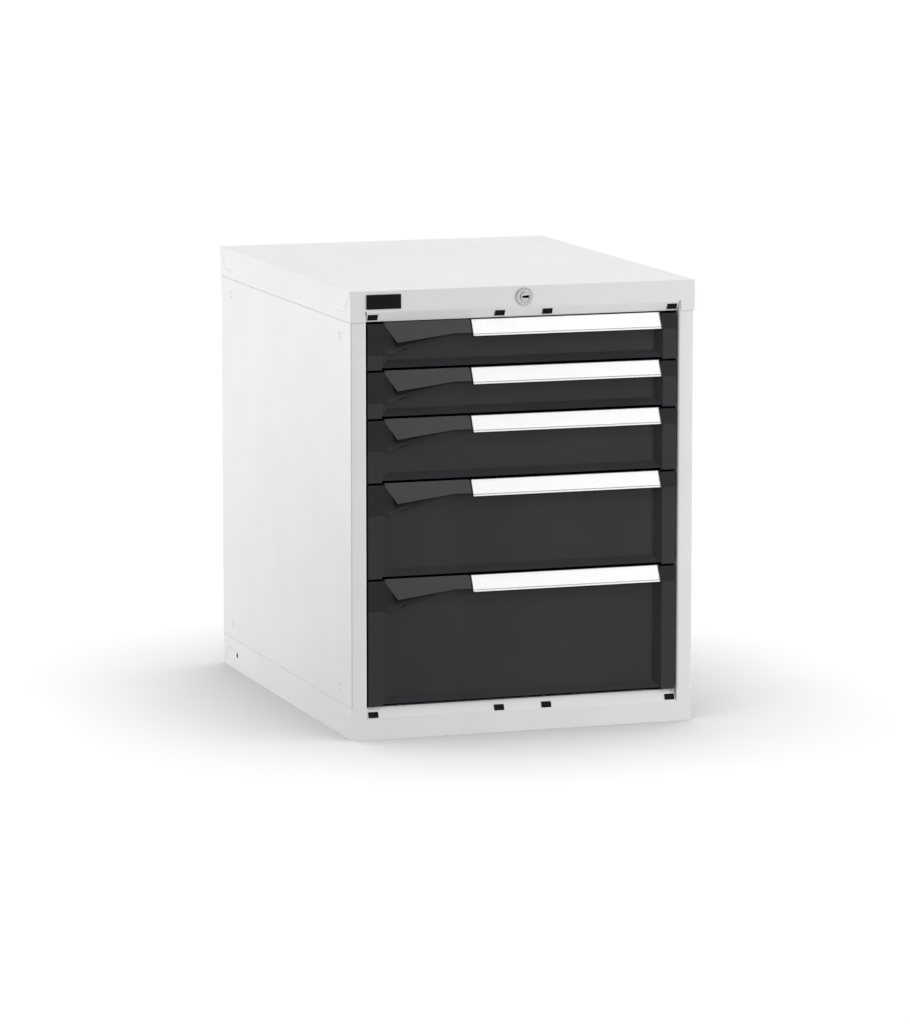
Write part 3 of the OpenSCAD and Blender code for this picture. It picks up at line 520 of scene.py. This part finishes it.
def screw_heads(node):
    """Pan heads in place of the back panel's screws, facing the rear."""
    form = whole_faces(node)
    boxes = loose_boxes(form)
    form.free()
    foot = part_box("back_panel")[1].y
    low, high = boxes[0]
    radius = (high.x - low.x) / 2
    height = high.y - foot
    places = bmesh.new()
    for low, high in boxes:
        places.verts.new(((low.x + high.x) / 2, foot, (low.z + high.z) / 2))
    piece = new_piece(node, "recessed", places)
    grown(piece, screw_tree(), {
        "Foot Radius": radius, "Top Radius": radius * SCREW_TOP_SHARE, "Head Height": height,
        "Recess": SCREW_RECESS, "Turn": (math.radians(-90), 0, 0),
    }, FINISHES[SLOT_OF[node]])
    seat(piece, node)


# The left grip and the right handle end

# Points down the grip's underside, and the length over which its flat corner turns into the scoop
UNDERSIDE_STEPS = 8
SWELL_L = 54.0
# Sections along the grip: on its corner, to the facet's tip, along the facet and round its end
CORNER_SECTIONS = 4
TIP_SECTIONS = 6
FACET_SECTIONS = 48
ROUND_SECTIONS = 8
# How far two sections stand apart where the grip's shape steps, in millimetres
STEP_GAP = 0.05
# Edges of the moulding: blunter ones are shaded smooth, and sharper ones are rounded by so many millimetres
MOULDED_SMOOTH_ANGLE = math.radians(24)
MOULDED_EDGE_ANGLE = math.radians(26)
MOULDED_EDGE = 0.5
MOULDED_SEGMENTS = 2


def mix(a, b, share):
    """The value at a share of the way from a to b."""
    return a + (b - a) * share


def smooth(share):
    """A share that starts and stops gently."""
    share = min(max(share, 0.0), 1.0)
    return share * share * (3 - 2 * share)


def spaced(start, end, count):
    """Even places from the start to the end, both included."""
    return [mix(start, end, n / count) for n in range(count + 1)]


def label_point(drop):
    """Depth and drop of the label's plane, at a drop below the handle's top."""
    return Vector((LABEL_PLANE - drop * LABEL_LEAN / LABEL_H, HANDLE_TOP + drop))


def facet_drop(x):
    """How far the facet's lower edge lies below the handle's top."""
    if x <= FACET_TIP_X:
        return mix(FACET_START_DROP, FACET_TIP_DROP, (x - GRIP_FLAT_X) / (FACET_TIP_X - GRIP_FLAT_X))
    return mix(FACET_TIP_DROP, FACET_END_DROP, min((x - FACET_TIP_X) / FACET_RISE_L, 1.0))


def underside_drop(x):
    """How far the grip's lower edge on the panel lies below the top of the place."""
    share = (x - GRIP_FLAT_X) / (GRIP_END_X - GRIP_FLAT_X)
    return mix(GRIP_BOTTOM, HANDLE_TOP + GRIP_END_DROP, smooth(share))


def facet_section(x):
    """Depth and drop of the points round the grip's section, from the top's rear edge down the front."""
    back = PANEL_BACK if x < -PANEL_HALF_W else PANEL_PLANE
    over = max(x - (GRIP_END_X - FACET_END_ROUND), 0.0)
    dip = FACET_END_ROUND - math.sqrt(FACET_END_ROUND ** 2 - over ** 2)
    lip = label_point(facet_drop(x))
    lip.x = min(lip.x, STILE_PLANE)
    heel = Vector((back, underside_drop(x)))
    hollow = Vector((PANEL_PLANE, lip.y))
    foot = Vector((PANEL_PLANE, heel.y))
    swell = smooth((x - GRIP_FLAT_X) / SWELL_L)
    points = [Vector((back, HANDLE_TOP + dip)), label_point(dip), lip]
    for step in range(1, UNDERSIDE_STEPS):
        share = step / UNDERSIDE_STEPS
        down = step / (UNDERSIDE_STEPS - 1)
        flat = Vector((mix(lip.x, STILE_PLANE, 1 - (1 - down) ** 3), mix(lip.y, heel.y, down)))
        scoop = lip.lerp(hollow, share).lerp(hollow.lerp(foot, share), share)
        points.append(flat.lerp(scoop, swell))
    return points + [heel]


def flat_section():
    """The same number of points round the grip's flat corner."""
    front = [Vector((STILE_PLANE, drop)) for drop in spaced(END_TOP, GRIP_BOTTOM, UNDERSIDE_STEPS)]
    return [Vector((PANEL_BACK, END_TOP)), *front, Vector((PANEL_BACK, GRIP_BOTTOM))]


def grip_sections():
    """Places along the grip, from its outer end inwards, with the section at each."""
    round_x = GRIP_END_X - FACET_END_ROUND
    turns = [n / ROUND_SECTIONS * math.pi / 2 for n in range(1, ROUND_SECTIONS + 1)]
    stations = spaced(GRIP_FLAT_X + STEP_GAP, -PANEL_HALF_W - STEP_GAP, CORNER_SECTIONS)
    stations += spaced(-PANEL_HALF_W + STEP_GAP, FACET_TIP_X, TIP_SECTIONS)
    stations += spaced(FACET_TIP_X, round_x, FACET_SECTIONS)[1:]
    stations += [round_x + FACET_END_ROUND * math.sin(turn) for turn in turns]
    corner = [(x, flat_section()) for x in (-FRONT_HALF_W, GRIP_FLAT_X - STEP_GAP)]
    return corner + [(x, facet_section(x)) for x in stations]


def loft(form, rings):
    """Skins closed rings of points, and closes both ends."""
    rows = [[form.verts.new(point) for point in ring] for ring in rings]
    for low, high in zip(rows, rows[1:]):
        for n in range(len(low)):
            form.faces.new((low[n - 1], low[n], high[n], high[n - 1]))
    form.faces.new(rows[0])
    form.faces.new(rows[-1])


def handle_ends(drawer):
    """The long left grip and the short right end of a drawer's handle."""
    form = bmesh.new()
    loft(form, [[at_place(drawer, x, p.x, p.y) for p in section] for x, section in grip_sections()])
    bottom = END_TOP + END_CAP_H
    cap = [
        (END_CAP_X, bottom), (FRONT_HALF_W, bottom), (FRONT_HALF_W, END_TOP + END_CAP_BEVEL),
        (FRONT_HALF_W - END_CAP_BEVEL, END_TOP), (END_CAP_X, END_TOP),
    ]
    web = [(PANEL_HALF_W, bottom), (END_CAP_X, bottom), (END_CAP_X, END_TOP), (PANEL_HALF_W, END_TOP)]
    for outline, front in ((cap, STILE_PLANE), (web, PANEL_PLANE)):
        depths = (front, PANEL_BACK)
        loft(form, [[at_place(drawer, x, depth, drop) for x, drop in outline] for depth in depths])
    bmesh.ops.recalc_face_normals(form, faces=form.faces)
    for edge in form.edges:
        edge.smooth = edge.calc_face_angle(0) < MOULDED_SMOOTH_ANGLE
    for face in form.faces:
        face.smooth = True
    node = f"drawer_{drawer}_handle_ends"
    piece = new_piece(node, "moulded", form)
    bevel = piece.modifiers.new("soft edges", "BEVEL")
    bevel.limit_method = "ANGLE"
    bevel.angle_limit = MOULDED_EDGE_ANGLE
    bevel.width = MOULDED_EDGE * MM
    bevel.segments = MOULDED_SEGMENTS
    bevel.harden_normals = True
    seat(piece, node)


# Labels

# How far the clear strip's back is lifted off the card, in millimetres
COVER_LIFT = 0.2


def label_card(drawer):
    """The card, with its painted shade line placed by how far up the slope a point lies."""
    node = f"drawer_{drawer}_label_card"
    piece = rounded(node, CARD_FOLD_RADIUS, CARD_CUT_W)
    low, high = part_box(node)
    # The slope coordinate places the card's painted shade line
    uv = piece.data.uv_layers.new(name="slope")
    for loop in piece.data.loops:
        corner = piece.data.vertices[loop.vertex_index].co
        uv.data[loop.index].uv = (
            (corner.x - low.x) / (high.x - low.x), (corner.z - low.z) / (high.z - low.z)
        )
    seat(piece, node)


def label_cover(drawer):
    """The clear strip, its back lifted a little off the card."""
    node = f"drawer_{drawer}_label_cover"
    form = whole_faces(node)
    outward = Vector((0, -math.cos(LABEL_ANGLE), math.sin(LABEL_ANGLE)))
    nearest = min(vert.co.dot(outward) for vert in form.verts)
    for vert in form.verts:
        if vert.co.dot(outward) < nearest + COVER_LIFT * MM:
            vert.co += outward * COVER_LIFT * MM
    seat(new_piece(node, "lifted", form), node)


# The whole cabinet


def dress_housing():
    """The housing, the lock and the locking bar with rounded folds, and the screws at the back."""
    for node, radius in FOLD_RADII.items():
        seat(rounded(node, radius), node)
    screw_heads("back_panel_screws")


def dress_drawer(drawer, divider_slots):
    """One drawer: its tray, front, runners, handle and label."""
    slotted_tray(drawer, divider_slots)
    front = f"drawer_{drawer}_front"
    seat(rounded(front, FRONT_FOLD_RADIUS, DRAWER_CUT_W, inside=1.0), front)
    for runners in (f"drawer_{drawer}_inner_runners", f"drawer_{drawer}_middle_runners"):
        seat(rounded(runners, RUNNER_FOLD_RADIUS, DRAWER_CUT_W), runners)
    handle = f"drawer_{drawer}_handle"
    seat(rounded(handle, HANDLE_EDGE / CUT_EDGE_SHARE, cut_w=math.inf), handle)
    label_card(drawer)
    label_cover(drawer)
    handle_ends(drawer)


# Studio

# The camera, in metres, with its focal length in pixels of a picture of that height
CAMERA_AZIMUTH = math.radians(-18.365)
CAMERA_RISE = math.radians(8.693)
CAMERA_DISTANCE = 8.6
CAMERA_AIM = Vector((-0.0031, -0.0315, 0.2982))
CAMERA_REACH = 200
IMAGE_H = 1024
FOCAL_PX = 5325
SENSOR_MM = 36
FLOOR_HALF_W = 60
WORLD_STRENGTH = 0.66
WHITE = (1, 1, 1)


def make_camera():
    """A camera with a long lens at eye height, looking a little down on the cabinet."""
    data = bpy.data.cameras.new("camera")
    data.sensor_width = SENSOR_MM
    data.lens = FOCAL_PX / IMAGE_H * SENSOR_MM
    data.clip_end = CAMERA_REACH
    camera = bpy.data.objects.new("camera", data)
    bpy.context.scene.collection.objects.link(camera)
    level = math.cos(CAMERA_RISE)
    back = Vector((
        math.sin(CAMERA_AZIMUTH) * level, -math.cos(CAMERA_AZIMUTH) * level, math.sin(CAMERA_RISE)
    ))
    camera.location = CAMERA_AIM + back * CAMERA_DISTANCE
    camera.rotation_euler = (math.radians(90) - CAMERA_RISE, 0, CAMERA_AZIMUTH)
    bpy.context.scene.camera = camera


def make_floor():
    """A wide floor, which shows in glossy faces but throws no soft light back on the cabinet."""
    form = bmesh.new()
    bmesh.ops.create_grid(form, x_segments=2, y_segments=2, size=FLOOR_HALF_W)
    mesh = bpy.data.meshes.new("studio_floor")
    form.to_mesh(mesh)
    form.free()
    floor = bpy.data.objects.new("studio_floor", mesh)
    bpy.context.scene.collection.objects.link(floor)
    material, tree, shader, place = finish("pale_floor", roughness=0.9)
    shader.inputs["Specular IOR Level"].default_value = 0.0
    clouds = grain(tree, place, size=0.6)
    tint(tree, clouds, (0.1, 0.1, 0.1), (0.102, 0.102, 0.102), shader.inputs["Base Color"])
    mesh.materials.append(material)
    floor.visible_diffuse = False
    return floor


def add_light(name, kind, power, lit):
    """A white light that shines only on what the lit collection names."""
    data = bpy.data.lights.new(name, kind)
    data.energy = power
    data.color = WHITE
    light = bpy.data.objects.new(name, data)
    light.light_linking.receiver_collection = lit
    bpy.context.scene.collection.objects.link(light)
    return light


def soft_box(name, lit, place, aim, size, power):
    """A round soft light at a place, turned to its aim."""
    light = add_light(name, "AREA", power, lit)
    light.data.shape = "DISK"
    light.data.size = size
    light.location = place
    light.rotation_euler = (Vector(aim) - Vector(place)).to_track_quat("-Z", "Y").to_euler()


def overhead(name, lit, strength, angle, tilt):
    """A soft light from above, tilted towards the rear by some degrees."""
    light = add_light(name, "SUN", strength, lit)
    light.data.angle = math.radians(angle)
    light.rotation_euler = (-math.radians(tilt), 0, 0)


def floor_share(name, floor, state):
    """A collection that holds the floor alone, for lights that light only it or all but it."""
    share = bpy.data.collections.new(name)
    share.objects.link(floor)
    share.collection_objects[0].light_linking.link_state = state
    return share


def make_light(floor):
    """An even white room, a light for the floor alone, and soft lights round the cabinet."""
    world = bpy.data.worlds.new("studio")
    world.use_nodes = True
    room = world.node_tree.nodes["Background"].inputs
    room["Color"].default_value = (*WHITE, 1)
    room["Strength"].default_value = WORLD_STRENGTH
    bpy.context.scene.world = world
    on_floor = floor_share("floor", floor, "INCLUDE")
    off_floor = floor_share("all but the floor", floor, "EXCLUDE")
    overhead("floor light", on_floor, strength=29.5, angle=65, tilt=0)
    overhead("top light", off_floor, strength=1.6, angle=60, tilt=32)
    soft_box("key", off_floor, place=(2.2, -2.0, 0.45), aim=(0, -0.3, 0.35), size=0.9, power=31)
    soft_box("high front", off_floor, place=(1.2, -3.0, 3.2), aim=(0, -0.36, 0.4), size=1.5, power=30)
    soft_box("left fill", off_floor, place=(-1.8, 1.7, 0.45), aim=(-0.28, 0.1, 0.35), size=1.4, power=30)
    soft_box("right fill", off_floor, place=(3.4, 1.4, 1.6), aim=(0.28, 0.2, 0.4), size=2.0, power=36)


dress_housing()
divider_slots = slot_tree()
for drawer in DRAWERS:
    dress_drawer(drawer, divider_slots)
make_camera()
make_light(make_floor())
bpy.context.scene.view_settings.view_transform = "Standard"
